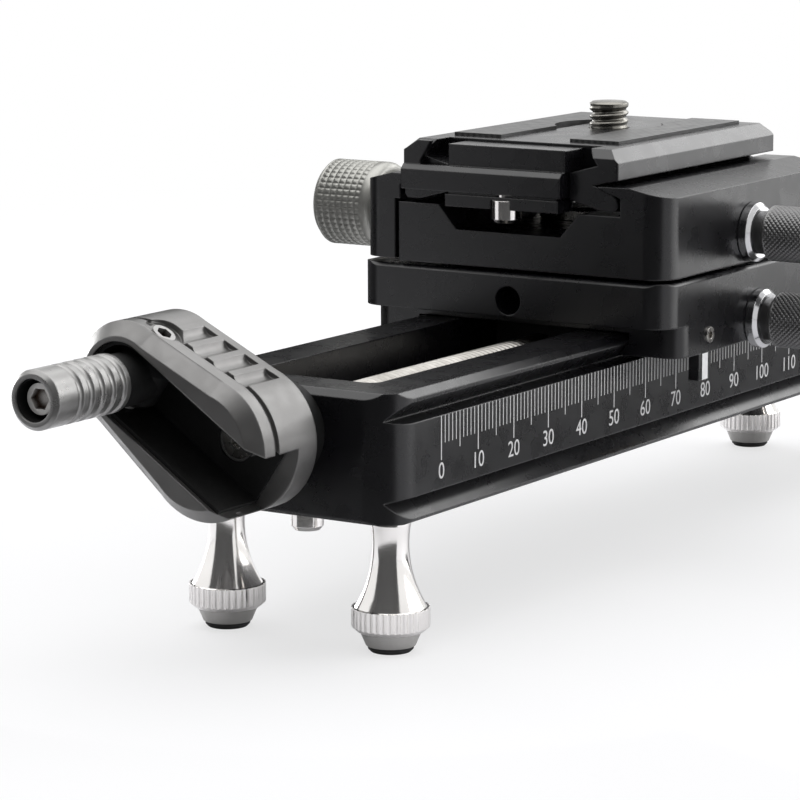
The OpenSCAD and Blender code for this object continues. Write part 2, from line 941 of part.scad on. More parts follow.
module clamp_body() {
    color(black)
        difference() {
            intersection() {
                at_clamp()
                    along_x(carriage_size)
                        polygon([[-half_c, 0], [fixed_edge, 0], [fixed_edge, floor_h],
                                 [post_r + 4.2, floor_h], [post_r + 0.9, relief_z],
                                 [-post_r - 0.9, relief_z], [-post_r - 4.2, floor_h],
                                 [-pad_y, floor_h], [-pad_y, hook_z(pad_y)],
                                 [-hook_y, hook_z(hook_y)], [-hook_y - 0.3, floor_h + 4.45],
                                 [-half_c + 6.5, floor_h + 4.5], [-half_c, floor_h + 3.1]]);
                linear_extrude(height = 200)
                    round_rect(carriage_size, carriage_size, block_r);
            }
            at_clamp()
                translate([0, 0, -1])
                    cylinder(h = 20, r = post_r + run);
            // threads for the clamp screw, guide pins and lock stud
            translate([0, 0, stud_z])
                rod_y(post_r, fixed_edge + 1, 3 + run);
            for (s = [-1, 1])
                translate([s * (half_c - 10), 0, stud_z])
                    rod_y(fixed_edge - 9, fixed_edge + 1, 2);
            translate([0, 0, stud_z])
                rod_y(-half_c - 1, -post_r, 2.05);
        }
}

module clamp_jaw() {
    color(black)
        difference() {
            intersection() {
                at_clamp()
                    along_x(carriage_size)
                        polygon([[jaw_in, 0.3], [jaw_out, 0.3], [jaw_out, floor_h + 3.1],
                                 [jaw_out - 5.5, floor_h + 4.5], [hook_y + 0.3, floor_h + 4.45],
                                 [hook_y, hook_z(hook_y)], [pad_y, hook_z(pad_y)],
                                 [pad_y, floor_h + 0.5], [jaw_in, floor_h + 0.5]]);
                linear_extrude(height = 200)
                    round_rect(carriage_size, jaw_out * 2, block_r - 1);
            }
            translate([0, 0, stud_z])
                rod_y(jaw_in - 1, jaw_out + 1, 3 + run);
            for (s = [-1, 1])
                translate([s * (half_c - 10), 0, stud_z])
                    rod_y(jaw_in - 1, jaw_out - 0.6, 2 + run);
        }
}

module jaw_guide_pins() {
    color(steel)
        for (s = [-1, 1])
            translate([s * (half_c - 10), 0, stud_z])
                rod_y(fixed_edge - 9, jaw_out - 0.9, 2);
}

module clamp_sleeve() {
    color(steel)
        translate([0, 0, stud_z])
            difference() {
                rod_y(jaw_out, half_c + knob_standoff - 0.1, 4.9);
                rod_y(jaw_out - 1, half_c + knob_standoff, 3 + run);
            }
}

module clamp_screw() {
    color(steel)
        translate([0, 0, stud_z])
            rod_y(post_r + 2.4, half_c + knob_standoff + knob_len - 6, 3);
}

module clamp_knob() {
    r = knob_d / 2;
    color(titanium)
        translate([0, half_c + knob_standoff, stud_z])
            rotate([-90, 0, 0])
                difference() {
                    union() {
                        cylinder(h = 1.5, r1 = r - 1.5, r2 = r);
                        translate([0, 0, 1.5])
                            cylinder(h = knob_len - 2.5, r = r);
                        translate([0, 0, knob_len - 1])
                            cylinder(h = 1, r1 = r, r2 = r - 1);
                    }
                    translate([0, 0, -1])
                        cylinder(h = knob_len - 5, r = 3);
                    flutes(r, 48, 0.34, 2.2, knob_len - 1.2);
                }
}

// ---- quick-release plate ----

module plate_outline() {
    polygon(both_sides([[11, 1.4], [half_p - 3.05, 0], [half_p - 0.65, 0],
                        [half_p, 0.65], [half_p - 0.15, 1.9], [flank_y, 2.6],
                        [flank_y - 3.6, 3.9], [half_p, 4.8], [half_p, plate_h - 2],
                        [half_p - 2, plate_h]]));
}

module plate_strip(y, z, h, grow) {
    translate([plate_x - plate_len / 2 + 8 - grow, y - 4.4 - grow, z])
        cube([plate_len - 12 + 2 * grow, 8.8 + 2 * grow, h]);
}

module plate_body() {
    color(black)
        difference() {
            intersection() {
                translate([plate_x, 0, plate_z])
                    along_x(plate_len)
                        plate_outline();
                translate([plate_x, 0, plate_z])
                    along_y(plate_w + 2)
                        polygon([[-plate_len / 2, -1], [plate_len / 2, -1],
                                 [plate_len / 2, plate_h - 1.4], [plate_len / 2 - 1.4, plate_h],
                                 [1.4 - plate_len / 2, plate_h], [-plate_len / 2, plate_h - 1.4]]);
                translate([plate_x, 0, plate_z - 1])
                    linear_extrude(height = plate_h + 2)
                        round_rect(plate_len, plate_w + 0.02, 0.3);
            }
            // seats of the front lip, the pads, the camera screw and the rear stop screw
            translate([plate_front - 1, 0, plate_z])
                rotate([90, 0, 90])
                    linear_extrude(height = 6)
                        polygon(both_sides([[lip_half + 0.4, 0], [lip_half + 0.4, 5.6],
                                            [hook_y, 6.9], [half_p - 5.45, plate_h],
                                            [half_p - 5.45, plate_h + 1]]));
            for (s = [-1, 1])
                plate_strip(s * strip_y, plate_top - 0.6, 2, 0);
            translate([camera_screw_x, 0, plate_z - 1])
                cylinder(h = plate_h + 2, r = camera_r - 0.25 + run);
            translate([camera_screw_x, 0, plate_top - 0.6])
                cylinder(h = 2, r = camera_r + 0.2);
            translate([camera_screw_x, 0, plate_z])
                cylinder(h = 4.6, r = 6.7);
            translate([plate_back - 3.4, 0, plate_z])
                cylinder(h = 5, r = 1.5);
        }
}

// A long bar across the plate's front, with a cheek at the moving jaw's side.
module plate_front_lip() {
    color(black)
        difference() {
            union() {
                translate([lip_x, -lip_half, plate_z + 1.7])
                    cube([plate_front + 5 - lip_x, 2 * lip_half, 3.9]);
                translate([lip_x, 0, plate_z + 1.7])
                    cube([clear_x - lip_x, flank_y, 3.9]);
                translate([(lip_x + 0.95 + clear_x) / 2, 0, plate_z])
                    along_x(clear_x - lip_x - 0.95)
                        polygon([[flank_y - 3, 5.5], [flank_y, 5.5], [flank_y, plate_h - 1.6],
                                 [flank_y - 2.6, plate_h], [flank_y - 5, plate_h],
                                 [flank_y - 3, 6.2]]);
                translate([lip_x + 1.6, -lip_half, plate_z + 5.6])
                    cube([plate_front + 5 - lip_x - 1.6, 2 * lip_half, 3.4]);
                translate([lip_x + 0.4, -lip_half + 0.7, plate_z + 1.3])
                    cube([plate_front + 2.5 - lip_x, 2 * lip_half - 1.4, 0.5]);
                translate([lip_x, -lip_half + 0.3, plate_z - 0.6])
                    cube([plate_front + 2.1 - lip_x, 2 * lip_half - 0.6, 1.9]);
            }
            // seat of the stop screw
            translate([lip_x + 1.8, 0, plate_z - 1])
                cylinder(h = 1.8, r = 2.45);
            translate([lip_x + 1.8, 0, plate_z])
                cylinder(h = 4, r = 1.5);
            // sloping edge along the bar's front
            translate([lip_x - 0.1, -half_p, plate_z + 4.7])
                rotate([0, -45, 0])
                    cube([1.4, plate_w, 1.4]);
        }
}

module plate_pads() {
    color(rubber)
        difference() {
            for (s = [-1, 1])
                plate_strip(s * strip_y, plate_top - 0.6, 1.1, -0.05);
            translate([camera_screw_x, 0, plate_z])
                cylinder(h = plate_h + 2, r = 8.8);
        }
}

module plate_stop_screws() {
    color(bright)
        for (p = [[lip_x + 1.8, -2.7, 0.8], [plate_back - 3.4, -3.1, 1.4]])
            translate([p[0], 0, plate_z])
                difference() {
                    union() {
                        translate([0, 0, p[2]])
                            cylinder(h = 3, r = 1.5);
                        translate([0, 0, p[1] + 0.6])
                            cylinder(h = p[2] - p[1] - 0.6, r = 2.4);
                        translate([0, 0, p[1]])
                            cylinder(h = 0.6, r1 = 1.8, r2 = 2.4);
                    }
                    translate([0, 0, p[1] - 0.1])
                        hex_socket(2, 1.6);
                }
}

module camera_screw() {
    color(steel)
        translate([camera_screw_x, 0, 0])
            difference() {
                union() {
                    translate([0, 0, plate_z + 2.2])
                        cylinder(h = 2.2, r = 6.5);
                    translate([0, 0, plate_z + 4.3])
                        cylinder(h = plate_h - 4.3, r = camera_r - 0.25);
                    translate([0, 0, plate_top])
                        cylinder(h = camera_screw_h - 0.5, r = camera_r);
                    translate([0, 0, plate_top + camera_screw_h - 0.5])
                        cylinder(h = 0.5, r1 = camera_r, r2 = camera_r - 0.5);
                }
                translate([0, 0, plate_z + 2.1])
                    hex_socket(4, 2.6);
            }
}

rail_base();
front_bearing();
rear_bearing();
rear_plug();
end_stop_screws();
foot_front_left();
foot_front_right();
foot_rear_left();
foot_rear_right();
foot_cups();
foot_pads();
lead_screw();
thrust_collar();
crank_shell();
crank_liner();
crank_screw();
handle_pivot();
handle_knuckle();
handle_screw();
handle_grip();
carriage_body();
lock_gib();
gib_screw();
index_pointer();
drive_nut();
nut_screws();
carriage_lock_knob();
carriage_lock_ring();
carriage_lock_stud();
pan_washer();
pan_post();
pan_cap();
pan_screw();
clamp_body();
clamp_jaw();
jaw_guide_pins();
clamp_sleeve();
clamp_screw();
clamp_knob();
pan_lock_knob();
pan_lock_ring();
pan_lock_stud();
pan_lock_tip();
plate_body();
plate_front_lip();
plate_pads();
plate_stop_screws();
camera_screw();
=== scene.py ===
"""Looks of the macro focusing rail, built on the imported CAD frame.

The row frame is in metres, and so are the stage, the lights and the camera. Sizes of the object's own
pieces are in millimetres, and are read from the CAD nodes where these have them.
"""
import math

import bpy
from mathutils import Matrix, Vector

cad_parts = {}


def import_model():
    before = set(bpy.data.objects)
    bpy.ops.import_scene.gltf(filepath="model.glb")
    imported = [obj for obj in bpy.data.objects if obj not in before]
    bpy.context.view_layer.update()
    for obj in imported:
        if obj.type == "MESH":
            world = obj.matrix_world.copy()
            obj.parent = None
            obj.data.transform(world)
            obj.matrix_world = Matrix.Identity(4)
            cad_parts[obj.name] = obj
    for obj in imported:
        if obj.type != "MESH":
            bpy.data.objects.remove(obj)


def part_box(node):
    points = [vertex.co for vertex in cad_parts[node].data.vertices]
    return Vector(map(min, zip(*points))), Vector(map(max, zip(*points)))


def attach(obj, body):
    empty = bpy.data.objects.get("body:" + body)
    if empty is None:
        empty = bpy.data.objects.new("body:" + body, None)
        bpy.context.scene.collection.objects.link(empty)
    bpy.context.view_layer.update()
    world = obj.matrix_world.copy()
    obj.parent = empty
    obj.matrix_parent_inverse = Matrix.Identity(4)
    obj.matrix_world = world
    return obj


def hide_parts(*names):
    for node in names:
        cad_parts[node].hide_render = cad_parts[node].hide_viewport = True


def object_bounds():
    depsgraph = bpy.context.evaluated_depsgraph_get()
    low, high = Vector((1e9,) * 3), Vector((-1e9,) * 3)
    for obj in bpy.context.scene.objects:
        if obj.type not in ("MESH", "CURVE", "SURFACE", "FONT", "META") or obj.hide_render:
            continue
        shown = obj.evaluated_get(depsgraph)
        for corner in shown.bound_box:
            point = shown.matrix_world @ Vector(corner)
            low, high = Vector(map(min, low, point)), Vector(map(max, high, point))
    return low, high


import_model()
cad_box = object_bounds()

MM = 0.001
X, Y, Z = range(3)
FLOOR_Z = cad_box[0][Z]
WHITE = (1, 1, 1)


def low(node, axis):
    """Where a CAD node starts along an axis, in mm."""
    return round(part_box(node)[0][axis] / MM, 4)


def high(node, axis):
    """Where a CAD node ends along an axis, in mm."""
    return round(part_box(node)[1][axis] / MM, 4)


def middle(node, axis):
    return (low(node, axis) + high(node, axis)) / 2


def half(node, axis):
    return (high(node, axis) - low(node, axis)) / 2


# ---------------------------------------------------------------- materials


class Shader:
    """A small helper that wires procedural nodes into one Principled shader."""

    def __init__(self, name, **values):
        self.mat = bpy.data.materials.new(name)
        self.mat.use_nodes = True
        self.tree = self.mat.node_tree
        self.bsdf = self.tree.nodes["Principled BSDF"]
        for key, value in values.items():
            self.bsdf.inputs[key.replace("_", " ")].default_value = value
        self.coords = self.node("ShaderNodeTexCoord").outputs["Object"]
        self.normal = None

    def node(self, kind, **settings):
        node = self.tree.nodes.new(kind)
        for key, value in settings.items():
            setattr(node, key, value)
        return node

    def link(self, source, target):
        self.tree.links.new(source, target)

    def noise(self, scale, detail=2.0, stretch=(1, 1, 1)):
        mapping = self.node("ShaderNodeMapping")
        mapping.inputs["Scale"].default_value = stretch
        self.link(self.coords, mapping.inputs["Vector"])
        texture = self.node("ShaderNodeTexNoise")
        texture.inputs["Scale"].default_value = scale
        texture.inputs["Detail"].default_value = detail
        self.link(mapping.outputs["Vector"], texture.inputs["Vector"])
        return texture.outputs["Fac"]

    def ramp(self, source, dark, light, dark_at=0.3, light_at=0.7):
        ramp = self.node("ShaderNodeValToRGB")
        ends = ramp.color_ramp.elements
        ends[0].position = dark_at
        ends[1].position = light_at
        ends[0].color = (*dark, 1)
        ends[1].color = (*light, 1)
        self.link(source, ramp.inputs["Fac"])
        return ramp.outputs["Color"]

    def mottle(self, dark, light, scale=60.0):
        """Base colour that drifts softly between two values."""
        self.link(self.ramp(self.noise(scale), dark, light), self.bsdf.inputs["Base Color"])
        return self

    def roughness(self, smooth, rough, scale=400.0, stretch=(1, 1, 1)):
        """Roughness that drifts between two values."""
        noise = self.noise(scale, detail=3.0, stretch=stretch)
        self.link(self.ramp(noise, (smooth,) * 3, (rough,) * 3), self.bsdf.inputs["Roughness"])
        return self

    def edges(self, radius_mm):
        """Rounds edges in shading, as on machined and blasted metal."""
        bevel = self.node("ShaderNodeBevel", samples=6)
        bevel.inputs["Radius"].default_value = radius_mm * MM
        self.normal = bevel.outputs["Normal"]
        self.link(self.normal, self.bsdf.inputs["Normal"])
        return self

    def bump(self, height, strength, distance_mm):
        """Fine relief in shading, on top of the rounded edges where there are any."""
        bump = self.node("ShaderNodeBump")
        bump.inputs["Strength"].default_value = strength
        bump.inputs["Distance"].default_value = distance_mm * MM
        self.link(height, bump.inputs["Height"])
        if self.normal is not None:
            self.link(self.normal, bump.inputs["Normal"])
        self.normal = bump.outputs["Normal"]
        self.link(self.normal, self.bsdf.inputs["Normal"])
        return self


def black_anodised():
    s = Shader("black_anodised", Metallic=0.0, Specular_IOR_Level=0.5)
    s.mottle((0.0030, 0.0029, 0.0036), (0.0048, 0.0046, 0.0058), scale=45.0)
    s.roughness(0.25, 0.31, scale=260.0)
    return s.edges(0.3).mat


def grey_anodised(name, dark, light, rough, edge_mm, grain=0.3, metallic=0.85):
    """Blasted and anodised aluminium with a fine grain."""
    s = Shader(name, Metallic=metallic)
    s.mottle(dark, light, scale=80.0)
    s.roughness(rough - 0.05, rough + 0.06, scale=500.0)
    s.edges(edge_mm)
    return s.bump(s.noise(6500.0), grain, distance_mm=0.02).mat


def turned_steel(name, dark, light, rough, stretch=(1, 1, 1), edge_mm=0.15):
    """Bare steel with faint turning marks, drawn out by stretch."""
    s = Shader(name, Metallic=1.0)
    s.mottle(dark, light, scale=120.0)
    s.roughness(rough * 0.75, rough * 1.3, scale=700.0, stretch=stretch)
    s.edges(edge_mm)
    return s.bump(s.noise(900.0, detail=3.0, stretch=stretch), 0.12, distance_mm=0.01).mat


def socket_steel(name, recess_shade, light):
    """Bright screw head with painted shade in its socket: ambient occlusion darkens the base colour in
    the recess.
    """
    s = Shader(name, Metallic=0.6, Roughness=0.3)
    # painted shade: within 1.6 mm of other surfaces the base colour turns to the first, dark colour,
    # which darkens the socket
    shade = s.node("ShaderNodeAmbientOcclusion", samples=8, only_local=True)
    shade.inputs["Distance"].default_value = 1.6 * MM
    tone = s.ramp(shade.outputs["AO"], recess_shade, light, dark_at=0.5, light_at=0.85)
    s.link(tone, s.bsdf.inputs["Base Color"])
    s.edges(0.1)
    return s.bump(s.noise(3000.0), 0.1, distance_mm=0.01).mat


def rubber(name, value, grain_scale=3500.0):
    """Matt rubber or moulded plastic."""
    s = Shader(name, Metallic=0.0, Specular_IOR_Level=0.3)
    s.mottle((value * 0.8,) * 3, (value * 1.25,) * 3, scale=200.0)
    s.roughness(0.6, 0.78, scale=500.0)
    s.edges(0.12)
    return s.bump(s.noise(grain_scale, detail=3.0), 0.35, distance_mm=0.05).mat


def ribbed_rubber():
    """The plate's strips: fine ribs along the plate."""
    rib_pitch_mm = 1.1
    wave_length_at_scale_one = 0.314
    s = Shader("pad_rubber", Metallic=0.0, Specular_IOR_Level=0.5)
    s.mottle((0.028,) * 3, (0.042,) * 3, scale=200.0)
    s.roughness(0.30, 0.40, scale=500.0)
    wave = s.node("ShaderNodeTexWave", wave_type="BANDS", bands_direction="Y")
    wave.inputs["Scale"].default_value = wave_length_at_scale_one / (rib_pitch_mm * MM)
    s.link(s.coords, wave.inputs["Vector"])
    return s.bump(wave.outputs["Fac"], 0.35, distance_mm=0.18).mat


def white_ink(name, value):
    s = Shader(name, Metallic=0.0, Roughness=0.5)
    s.mottle((value * 0.9,) * 3, (value,) * 3, scale=900.0)
    return s.bump(s.noise(2500.0), 0.2, distance_mm=0.02).mat


MATS = {
    "black": black_anodised(),
    "grey": grey_anodised("grey_anodised", (0.150, 0.148, 0.145), (0.190, 0.187, 0.184),
                          rough=0.33, edge_mm=0.3, grain=0.2, metallic=0.8),
    # a lighter copy of the crank's grey anodising: painted light, so that the grip comes out brighter
    # than the crank
    "grip": grey_anodised("grip_anodised_painted_lighter", (0.240, 0.237, 0.233), (0.300, 0.297, 0.292),
                          rough=0.30, edge_mm=0.3, grain=0.2, metallic=0.8),
    "warm": grey_anodised("warm_knob", (0.280, 0.280, 0.262), (0.350, 0.347, 0.325),
                          rough=0.40, edge_mm=0.12, metallic=0.7),
    "knurl": grey_anodised("lock_knurl", (0.130, 0.129, 0.130), (0.180, 0.178, 0.178),
                           rough=0.36, edge_mm=0.08),
    "cup": grey_anodised("foot_cup", (0.420, 0.415, 0.400), (0.500, 0.490, 0.475),
                         rough=0.45, edge_mm=0.15),
    "polished": turned_steel("polished_steel", (0.82, 0.80, 0.78), (0.92, 0.90, 0.88),
                             rough=0.13, stretch=(1, 1, 12)),
    "chrome": turned_steel("chrome_ring", (0.46, 0.46, 0.47), (0.56, 0.56, 0.57), rough=0.16),
    "steel": turned_steel("steel", (0.50, 0.485, 0.46), (0.62, 0.60, 0.57), rough=0.26),
    "bronze": turned_steel("bronze", (0.48, 0.33, 0.16), (0.60, 0.43, 0.22), rough=0.34),
    "screw": turned_steel("lead_screw_steel", (0.28, 0.27, 0.25), (0.44, 0.425, 0.40),
                          rough=0.38, edge_mm=0.05),
    "dark_steel": turned_steel("dark_steel", (0.16, 0.155, 0.14), (0.24, 0.23, 0.21), rough=0.3),
    # the first colour of the hex and pivot heads is painted shade in their sockets
    "hex": socket_steel("hex_screw", (0.07, 0.045, 0.03), (0.66, 0.65, 0.63)),
    "pivot": socket_steel("pivot_screw", (0.03, 0.025, 0.02), (0.36, 0.355, 0.35)),
    "rubber": rubber("foot_rubber", 0.022),
    # near-black plastic for the bushings, washer, nut and knuckle; the same material also draws the
    # painted shade in the handle's recess
    "plastic": rubber("near_black_plastic_and_shade", 0.006, grain_scale=5000.0),
    "pads": ribbed_rubber(),
    "ink": white_ink("white_ink", 0.62),
    "index": white_ink("index_line", 0.8),
}

NODE_LOOKS = {
    "black": ["rail_base", "rear_plug", "carriage_body", "index_pointer", "clamp_body", "clamp_jaw",
              "plate_body", "plate_front_lip", "thrust_collar"],
    "grey": ["crank_shell"],
    # the grip takes the lighter, painted-light copy of the grey anodising
    "grip": ["handle_grip"],
    "cup": ["foot_cups"],
    "polished": ["foot_front_left", "foot_front_right", "foot_rear_left", "foot_rear_right",
                 "end_stop_screws", "plate_stop_screws"],
    "hex": ["handle_screw"],
    "pivot": ["handle_pivot"],
    "chrome": ["carriage_lock_ring", "pan_lock_ring"],
    "steel": ["crank_screw", "gib_screw", "nut_screws", "carriage_lock_stud", "pan_lock_stud",
              "pan_post", "pan_cap", "pan_screw", "jaw_guide_pins", "clamp_sleeve", "clamp_screw"],
    "bronze": ["lock_gib", "pan_lock_tip"],
    "rubber": ["foot_pads"],
    # crank_liner draws the inside of the crank's slot near black; the handle recess's painted shade also
    # uses this material
    "plastic": ["crank_liner", "pan_washer", "front_bearing", "rear_bearing", "drive_nut",
                "handle_knuckle"],
    "pads": ["plate_pads"],
}


def dress_nodes():
    """Gives each CAD node that stays in view its material."""
    for look, nodes in NODE_LOOKS.items():
        for node in nodes:
            obj = bpy.data.objects[node]
            if not obj.material_slots:
                obj.data.materials.append(MATS[look])
            for material_slot in obj.material_slots:
                material_slot.material = MATS[look]


# ---------------------------------------------------------------- mesh tools


def add_piece(name, verts, faces, material, body, replaces=(), smooth=True):
    """A mesh that rides on a body and, where it replaces CAD nodes, is shown in their place."""
    mesh = bpy.data.meshes.new(name)
    mesh.from_pydata(verts, [], faces)
    mesh.validate()
    mesh.update()
    if smooth:
        mesh.shade_smooth()
    else:
        mesh.shade_flat()
    obj = bpy.data.objects.new(name, mesh)
    bpy.context.scene.collection.objects.link(obj)
    obj.data.materials.append(MATS[material])
    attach(obj, body)
    if replaces:
        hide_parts(*replaces)


def along_x(y, z):
    """Places (distance along the axis, across, up), in mm, around an axis along X."""
    return lambda s, a, b: (s * MM, (y + a) * MM, (z + b) * MM)


def along_y(x, z, sign=1):
    return lambda s, a, b: ((x + a) * MM, s * sign * MM, (z - sign * b) * MM)


def along_z(x, y):
    return lambda s, a, b: ((x + a) * MM, (y + b) * MM, s * MM)


def turned(outline, segments, place, relief=None):
    """Points of rings turned about an axis. The outline's points are (s, r) in mm along the axis and
    out from it, and relief(s, turn) adds to r."""
    verts = []
    for s, r in outline:
        for i in range(segments):
            turn = i / segments
            reach = r + (relief(s, turn) if relief else 0.0)
            angle = 2 * math.pi * turn
            verts.append(place(s, reach * math.cos(angle), reach * math.sin(angle)))
    return verts


def wall(first, second, segments):
    """Faces between two rings, which are given by their numbers."""
    a, b = first * segments, second * segments
    return [(a + i, a + (i + 1) % segments, b + (i + 1) % segments, b + i) for i in range(segments)]


def solid(outline, segments, place, relief=None):
    """A closed solid of revolution, with flat ends."""
    verts = turned(outline, segments, place, relief)
    last_ring = len(outline) - 1
    faces = [face for k in range(last_ring) for face in wall(k, k + 1, segments)]
    start, end = len(verts), len(verts) + 1
    verts += [place(outline[0][0], 0, 0), place(outline[-1][0], 0, 0)]
    for i in range(segments):
        j = (i + 1) % segments
        faces.append((start, j, i))
        faces.append((end, last_ring * segments + i, last_ring * segments + j))
    return verts, faces


def tube(outline, segments, place):
    """A ring whose section is a closed outline."""
    count = len(outline)
    faces = [face for k in range(count) for face in wall(k, (k + 1) % count, segments)]
    return turned(outline, segments, place), faces


def steps(start, end, step):
    """Even steps from start to end, both counted in."""
    count = max(1, round((end - start) / step))
    return [start + (end - start) * i / count for i in range(count + 1)]


def sharp(outline):
    """Doubles each ring where the outline turns, so that the corner stays crisp when shaded."""
    beside, straight = 1e-4, 0.94
    out = [outline[0]]
    for (s0, r0), (s1, r1), (s2, r2) in zip(outline, outline[1:], outline[2:]):
        out.append((s1, r1))
        before, after = math.dist((s0, r0), (s1, r1)), math.dist((s1, r1), (s2, r2))
        bend = ((s1 - s0) * (s2 - s1) + (r1 - r0) * (r2 - r1)) / (before * after)
        if bend < straight:
            out.append((s1 + beside * (s2 - s1) / after, r1 + beside * (r2 - r1) / after))
    out.append(outline[-1])
    return out


def triangle(x):
    """Triangle wave from 0 to 1."""
    return 1 - abs(2 * (x - math.floor(x)) - 1)


def thread(depth, pitch, start, end):
    """Relief of a right-hand screw thread that fades out at both ends of its run."""
    def relief(s, turn):
        if not start <= s <= end:
            return 0.0
        fade = min(1.0, (s - start) / pitch, (end - s) / pitch)
        crest_to_root = 1.25 - 1.5 * triangle(s / pitch - turn)
        return -depth * fade * min(1.0, max(0.0, crest_to_root))
    return relief


def knurl(start, end, around, pitch, depth, diamond):
    """Relief of a knurl of squares, or of diamonds, that fades out at both ends of its run."""
    flat_top, fade_share = 1.7, 0.4

    def relief(s, turn):
        if not start < s < end:
            return 0.0
        a, b = around * turn, (s - start) / pitch
        if diamond:
            u, v = triangle(a + b), triangle(a - b)
        else:
            u, v = triangle(a), triangle(b)
        fade = min(1.0, (s - start) / (fade_share * pitch), (end - s) / (fade_share * pitch))
        return -depth * fade * (1 - min(1.0, flat_top * min(u, v)))
    return relief


# ---------------------------------------------------------------- screws and knobs


def lead_screw():
    """The lead screw: a threaded length between plain journals."""
    radius, journal_r = half("lead_screw", Z), 2.5
    pitch, depth, shoulder, chamfer = 1.25, 0.42, 82.1, 0.6
    run = shoulder - 1.1
    outline = [(low("lead_screw", X), journal_r), (-shoulder, journal_r),
               (-shoulder, radius - chamfer), (-shoulder + chamfer, radius)]
    outline += [(s, radius) for s in steps(-run, run, pitch / 8)]
    outline += [(shoulder - chamfer, radius), (shoulder, radius - chamfer),
                (shoulder, journal_r), (high("lead_screw", X), journal_r)]
    place = along_x(0, middle("lead_screw", Z))
    verts, faces = solid(outline, 32, place, thread(depth, pitch, -run, run))
    add_piece("lead_screw_thread", verts, faces, "screw", "crank", ["lead_screw"])


def camera_screw():
    """The 1/4 inch screw that stands out of the plate."""
    bottom, plate_top, tip = low("camera_screw", Z), high("plate_body", Z), high("camera_screw", Z)
    head_r, head_height, neck_r, radius, tip_r = 6.5, 2.2, 2.92, 3.175, 2.75
    pitch, depth = 1.27, 0.55
    start, end = plate_top + 0.1, tip - 0.3
    outline = [(bottom, head_r - 0.2), (bottom, head_r), (bottom + head_height, head_r),
               (bottom + head_height, neck_r), (plate_top, neck_r), (plate_top, radius)]
    outline += [(s, radius) for s in steps(start, end, pitch / 8)]
    outline += [(tip, tip_r)]
    place = along_z(high("camera_screw", X) - head_r, 0)
    verts, faces = solid(sharp(outline), 48, place, thread(depth, pitch, start, end))
    add_piece("camera_screw_thread", verts, faces, "dark_steel", "camera_screw",
              ["camera_screw"])


def handle_lining():
    """A thin near-black sheet in the recess in the handle's end: painted shade for the deep counterbore.
    """
    outer, inner, screw_hole, thickness = 2.99, 2.86, 2.25, 0.1
    mouth, bottom = low("handle_grip", X) + 0.35, low("handle_knuckle", X) + 0.05
    outline = [(mouth, outer), (mouth, inner), (bottom - thickness, inner),
               (bottom - thickness, screw_hole), (bottom, screw_hole), (bottom, outer)]
    place = along_x(middle("handle_knuckle", Y), middle("handle_knuckle", Z))
    verts, faces = tube(outline, 48, place)
    # painted shade: the near-black sheet stands where the counterbore is only shaded
    add_piece("handle_recess_painted_shade", verts, faces, "plastic", "grip", smooth=False)


def clamp_knob():
    """The clamp's big knob, with a knurl of squares."""
    base, tip, radius = low("clamp_knob", Y), high("clamp_knob", Y), high("clamp_knob", X)
    rounding, teeth, points_per_tooth = 1.5, 44, 8
    outline = [(base, 0.5), (base, radius - rounding)]
    for degrees in range(15, 91, 15):
        a = math.radians(degrees)
        outline.append((base + rounding * (1 - math.cos(a)), radius - rounding * (1 - math.sin(a))))
    start, end = base + 2.2, tip - 1.0
    outline += [(s, radius) for s in steps(start, end, 0.11)]
    outline += [(tip - 0.9, radius), (tip - 0.1, radius - 0.75), (tip, radius - 1.0), (tip, 0.6)]
    relief = knurl(start, end, teeth, pitch=1.25, depth=0.2, diamond=False)
    place = along_y(0, middle("clamp_knob", Z))
    verts, faces = solid(outline, teeth * points_per_tooth, place, relief)
    add_piece("clamp_knob_knurled", verts, faces, "warm", "clamp_knob",
              ["clamp_knob"])


def lock_knob(name, body, node):
    """A slim lock knob on the scale side, with a plain neck and a diamond knurl."""
    base, tip, radius = -high(node, Y), -low(node, Y), half(node, X)
    neck_r, neck, teeth, points_per_tooth = radius - 1.0, 1.5, 34, 8
    outline = [(base, 0.5), (base, neck_r), (base + neck, neck_r), (base + neck, radius - 0.6),
               (base + neck + 0.6, radius)]
    start, end = base + neck + 0.7, tip - 1.3
    outline += [(s, radius) for s in steps(start, end, 0.1)]
    outline += [(tip - 1.2, radius), (tip - 0.3, radius - 0.9), (tip, radius - 1.3), (tip, 0.5)]
    relief = knurl(start, end, teeth, pitch=0.8, depth=0.16, diamond=True)
    place = along_y(middle(node, X), middle(node, Z), sign=-1)
    verts, faces = solid(outline, teeth * points_per_tooth, place, relief)
    add_piece(name, verts, faces, "knurl", body, [node])


# ---------------------------------------------------------------- scale


SCALE_START = -77.7
SCALE_LENGTH = 130
SCALE_TOP = 14.25
INK_PROUD = 0.02


def flat_box(lowest, highest, verts, faces):
    """Adds a box between two corners, in mm."""
    n = len(verts)
    for x in (lowest[X], highest[X]):
        for y in (lowest[Y], highest[Y]):
            for z in (lowest[Z], highest[Z]):
                verts.append((x * MM, y * MM, z * MM))
    for face in ((0, 1, 3, 2), (4, 6, 7, 5), (0, 4, 5, 1), (2, 3, 7, 6), (0, 2, 6, 4), (1, 5, 7, 3)):
        faces.append(tuple(n + i for i in face))


def scale_ticks():
    """A tick for each millimetre, longer at fives and tens."""
    side, sunk = low("rail_base", Y), 0.1
    verts, faces = [], []
    for mm in range(SCALE_LENGTH + 1):
        x = SCALE_START + mm
        length = 6.4 if mm % 10 == 0 else 5.2 if mm % 5 == 0 else 4.0
        half_width = 0.11 if mm % 10 == 0 else 0.085
        flat_box((x - half_width, side - INK_PROUD, SCALE_TOP - length),
                 (x + half_width, side + sunk, SCALE_TOP), verts, faces)
    add_piece("scale_ticks", verts, faces, "ink", "rail", smooth=False)


